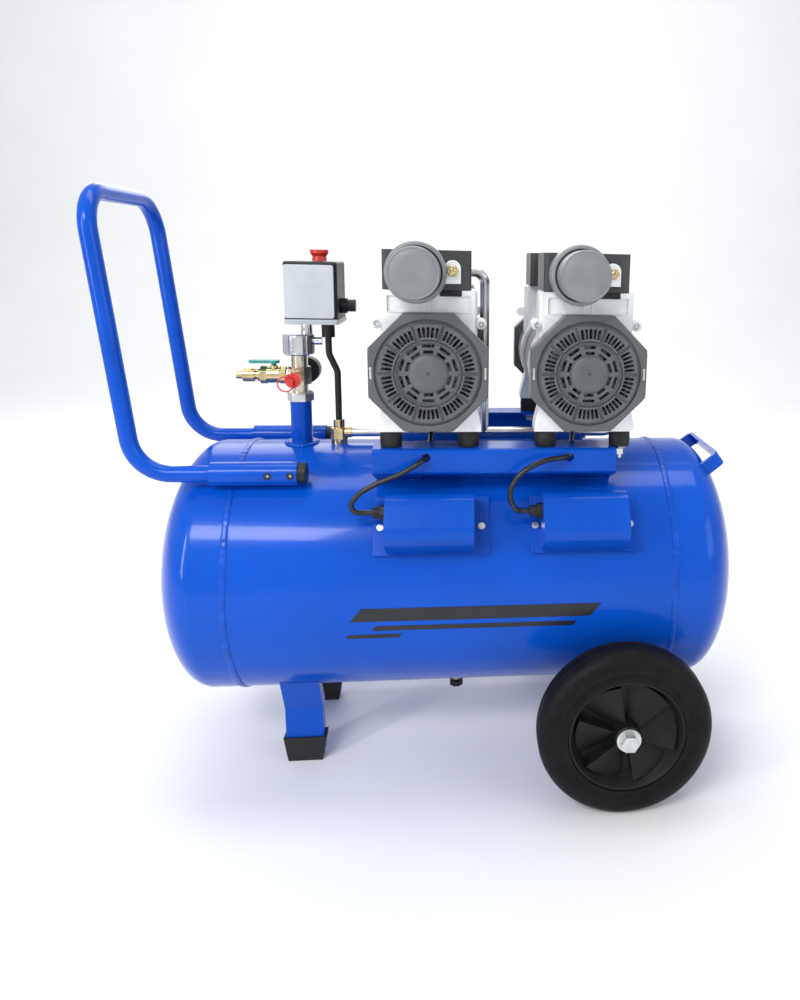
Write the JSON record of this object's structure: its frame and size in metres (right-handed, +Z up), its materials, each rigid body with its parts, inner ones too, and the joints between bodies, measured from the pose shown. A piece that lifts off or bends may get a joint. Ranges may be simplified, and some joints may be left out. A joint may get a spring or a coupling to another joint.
{
  "type": "air compressor",
  "caption": "Wheeled air compressor: horizontal blue tank with domed ends, oil-free twin-cylinder pumps on a saddle, pressure switch, valves and a U-shaped pull handle.",
  "frame": {"origin": "on the floor, midway along the overall length and on the tank's centre plane", "axes": "+X along the tank toward the wheels, -Y toward the side with the capacitor housings, +Z up"},
  "size_m": [0.7545, 0.4486, 0.7015],
  "materials": {
    "blue_paint": "gloss",
    "blue_paint_rail": "gloss",
    "zinc": "zinc plated",
    "chrome": "polished",
    "brass": "satin",
    "cast_aluminium": "cast, fine grain",
    "pipe_aluminium": "drawn tube",
    "grey_head": "satin",
    "grey_plastic": "satin moulded",
    "black_plastic": "moulded",
    "switch_grey": "satin moulded",
    "switch_black": "satin moulded",
    "red_plastic": "moulded",
    "teal_coating": "satin",
    "black_rubber": "matte",
    "tyre_rubber": "matte",
    "lead_sheath": "satin",
    "steel": "machined",
    "motor_steel": "satin",
    "gauge_dial": "satin",
    "capacitor_film": "moulded"
  },
  "bodies": {
    "tank": {"tank_shell": "blue_paint", "tank_ends": "blue_paint", "tank_plug": "zinc", "saddle_front": "blue_paint_rail", "saddle_rear": "blue_paint_rail", "legs": "blue_paint_rail", "rubber_feet": "black_rubber", "axle_brackets": "blue_paint_rail", "axle_bolts": "zinc", "lift_handle": "blue_paint_rail", "handle_sleeves": "blue_paint_rail", "sleeve_caps": "black_plastic", "small_screws": "zinc", "riser_pipe": "blue_paint_rail", "manifold": "brass", "diaphragm_housing": "chrome", "switch_base": "switch_grey", "switch_cover": "switch_black", "cable_glands": "black_plastic", "ball_valve_body": "brass", "coupler_body": "brass", "safety_valve_body": "brass", "gauge_case": "gauge_dial", "check_valve": "brass", "unloader_tube": "black_plastic", "delivery_pipe": "pipe_aluminium", "drain_valve_body": "brass", "capacitor_cover_left": "blue_paint_rail", "capacitor_cover_right": "blue_paint_rail", "capacitors": "capacitor_film", "capacitor_leads": "lead_sheath", "rubber_mounts": "black_rubber", "mount_studs": "zinc", "pistons": "steel", "intake_filters": "grey_plastic", "pump_left_crankcases": "cast_aluminium", "pump_left_heads": "grey_head", "pump_left_guards": "grey_plastic", "pump_left_motor": "motor_steel", "pump_right_crankcases": "cast_aluminium", "pump_right_heads": "grey_head", "pump_right_guards": "grey_plastic", "pump_right_motor": "motor_steel"},
    "wheel_front": {"wheel_front_tyre": "tyre_rubber", "wheel_front_hub": "black_plastic"},
    "wheel_rear": {"wheel_rear_tyre": "tyre_rubber", "wheel_rear_hub": "black_plastic"},
    "pull_handle": {"pull_handle": "blue_paint"},
    "switch_knob": {"switch_knob": "red_plastic"},
    "valve_lever": {"valve_lever": "teal_coating"},
    "coupler_collar": {"coupler_collar": "brass"},
    "safety_valve_ring": {"safety_valve_ring": "red_plastic"},
    "gauge_needle": {"gauge_needle": "red_plastic"},
    "drain_knob": {"drain_knob": "black_plastic"},
    "rotor_left": {"pump_left_rotor": "steel"},
    "rod_left_front": {"pump_left_rod_front": "steel"},
    "rod_left_rear": {"pump_left_rod_rear": "steel"},
    "rotor_right": {"pump_right_rotor": "steel"},
    "rod_right_front": {"pump_right_rod_front": "steel"},
    "rod_right_rear": {"pump_right_rod_rear": "steel"}
  },
  "joints": [
    {"name": "wheel_front_spin", "type": "hinge", "parent": "tank", "child": "wheel_front", "pos_m": [0.216, -0.189, 0.1015], "axis": [0, 1, 0], "continuous": true},
    {"name": "wheel_rear_spin", "type": "hinge", "parent": "tank", "child": "wheel_rear", "pos_m": [0.216, 0.189, 0.1015], "axis": [0, 1, 0], "continuous": true},
    {"name": "handle_slide", "type": "slide", "parent": "tank", "child": "pull_handle", "axis": [-1, 0, 0], "range_m": [0, 0.06]},
    {"name": "switch_knob_lift", "type": "slide", "parent": "tank", "child": "switch_knob", "axis": [0, 0, 1], "range_m": [0, 0.005]},
    {"name": "valve_lever_turn", "type": "hinge", "parent": "tank", "child": "valve_lever", "pos_m": [-0.202, 0, 0.481], "axis": [0, 0, 1], "range_deg": [0, 90]},
    {"name": "coupler_collar_slide", "type": "slide", "parent": "tank", "child": "coupler_collar", "axis": [1, 0, 0], "range_m": [0, 0.003], "stiffness_N_per_m": 900, "springref_m": -0.002},
    {"name": "safety_ring_pull", "type": "slide", "parent": "tank", "child": "safety_valve_ring", "axis": [0, -1, 0], "range_m": [0, 0.0025], "stiffness_N_per_m": 1500, "springref_m": -0.002},
    {"name": "gauge_needle_turn", "type": "hinge", "parent": "tank", "child": "gauge_needle", "pos_m": [-0.171, 0.047, 0.481], "axis": [0, 1, 0], "range_deg": [0, 270], "stiffness_Nm_per_rad": 0.0005, "springref_deg": -17.19},
    {"name": "drain_knob_turn", "type": "hinge", "parent": "tank", "child": "drain_knob", "pos_m": [0.023, 0, 0.073], "axis": [0, 0, 1], "range_deg": [0, 360]},
    {"name": "rotor_left_spin", "type": "hinge", "parent": "tank", "child": "rotor_left", "pos_m": [-0.007, 0, 0.505], "axis": [0, 1, 0], "continuous": true},
    {"name": "rod_left_front_turn", "type": "hinge", "parent": "rotor_left", "child": "rod_left_front", "pos_m": [-0.001, -0.091, 0.505], "axis": [0, 1, 0], "continuous": true},
    {"name": "rod_left_rear_turn", "type": "hinge", "parent": "rotor_left", "child": "rod_left_rear", "pos_m": [-0.013, 0.091, 0.505], "axis": [0, 1, 0], "continuous": true},
    {"name": "rotor_right_spin", "type": "hinge", "parent": "tank", "child": "rotor_right", "pos_m": [0.17, 0, 0.505], "axis": [0, 1, 0], "continuous": true},
    {"name": "rod_right_front_turn", "type": "hinge", "parent": "rotor_right", "child": "rod_right_front", "pos_m": [0.176, -0.091, 0.505], "axis": [0, 1, 0], "continuous": true},
    {"name": "rod_right_rear_turn", "type": "hinge", "parent": "rotor_right", "child": "rod_right_rear", "pos_m": [0.164, 0.091, 0.505], "axis": [0, 1, 0], "continuous": true}
  ],
  "couplings": [
    {"joint": "rod_left_front_turn", "follows": "rotor_left_spin", "ratio": -1},
    {"joint": "rod_left_rear_turn", "follows": "rotor_left_spin", "ratio": -1},
    {"joint": "rod_right_front_turn", "follows": "rotor_right_spin", "ratio": -1},
    {"joint": "rod_right_rear_turn", "follows": "rotor_right_spin", "ratio": -1}
  ]
}
